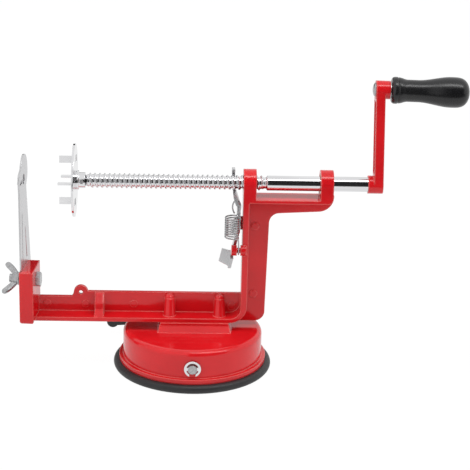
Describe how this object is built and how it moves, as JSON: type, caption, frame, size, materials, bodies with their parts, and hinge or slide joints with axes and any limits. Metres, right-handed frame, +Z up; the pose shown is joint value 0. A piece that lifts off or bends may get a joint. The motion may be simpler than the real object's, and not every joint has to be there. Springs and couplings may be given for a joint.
{
  "type": "hand cranked spiral potato slicer",
  "caption": "Red suction-base kitchen slicer: a hand crank drives a screw-fed pronged disc that turns a potato against an upright blade, with a spring-held thread release.",
  "frame": {"origin": "centre of the rubber cup's flat underside, on the worktop", "axes": "+X along the feed screw towards the crank, +Y away from the user's side shown in the picture, +Z up"},
  "size_m": [0.2658, 0.096, 0.1761],
  "materials": {
    "red_enamel": "gloss enamel on a casting",
    "rubber": "matte moulded rubber",
    "black_plastic": "satin moulded plastic",
    "chrome": "bright plated steel",
    "blade_steel": "rolled stainless sheet",
    "zinc_steel": "zinc plated",
    "spring_steel": "drawn wire",
    "bronze": "sintered bearing metal"
  },
  "bodies": {
    "frame": {"rubber_cup": "rubber", "base_housing": "red_enamel", "frame_casting": "red_enamel", "frame_screws": "zinc_steel", "screw_washers": "zinc_steel", "release_pivot": "zinc_steel", "slicer_blade": "blade_steel", "coring_tube": "blade_steel", "blade_bolt": "zinc_steel", "blade_washer": "zinc_steel", "release_spring": "spring_steel"},
    "bush": {"shaft_bush": "bronze"},
    "feed": {"feed_shaft": "chrome", "disc_hub": "chrome", "prong_disc": "chrome", "hub_pin": "zinc_steel", "crank_arm": "red_enamel", "crank_pin": "zinc_steel", "handle_spindle": "zinc_steel", "spindle_washer": "zinc_steel"},
    "grip": {"handle_grip": "black_plastic"},
    "release": {"release_lever": "blade_steel"},
    "suction": {"cam_shaft": "zinc_steel", "lift_cam": "zinc_steel", "suction_lever": "black_plastic", "lever_pin": "zinc_steel", "e_clip": "chrome"},
    "stud": {"cup_stud": "black_plastic"},
    "nut": {"wing_nut": "zinc_steel"}
  },
  "joints": [
    {"name": "crank_spin", "type": "hinge", "parent": "frame", "child": "bush", "pos_m": [0.0755, 0, 0.1125], "axis": [1, 0, 0], "range_deg": [-1800, 10080]},
    {"name": "feed_travel", "type": "slide", "parent": "bush", "child": "feed", "axis": [1, 0, 0], "range_m": [-0.014, 0.0784]},
    {"name": "grip_spin", "type": "hinge", "parent": "feed", "child": "grip", "pos_m": [0.1009, 0, 0.1683], "axis": [0.9998, 0, -0.0209], "continuous": true},
    {"name": "release_swing", "type": "hinge", "parent": "frame", "child": "release", "pos_m": [0.0255, 0.001, 0.088], "axis": [-1, 0, 0], "range_deg": [0, 8], "stiffness_Nm_per_rad": 0.12, "springref_deg": -25.78, "deforming": ["release_spring"]},
    {"name": "suction_turn", "type": "hinge", "parent": "frame", "child": "suction", "pos_m": [0, 0.045, 0.014], "axis": [0, 1, 0], "range_deg": [0, 180]},
    {"name": "stud_lift", "type": "slide", "parent": "frame", "child": "stud", "axis": [0, 0, 1], "range_m": [0, 0.003]},
    {"name": "nut_turn", "type": "hinge", "parent": "frame", "child": "nut", "pos_m": [-0.0911, -0.0035, 0.0534], "axis": [0.9969, -0.0785, 0], "continuous": true}
  ],
  "couplings": [
    {"joint": "feed_travel", "follows": "crank_spin", "m_per_rad": 0.00044563},
    {"joint": "stud_lift", "follows": "suction_turn", "m_per_rad": 0.00095}
  ]
}
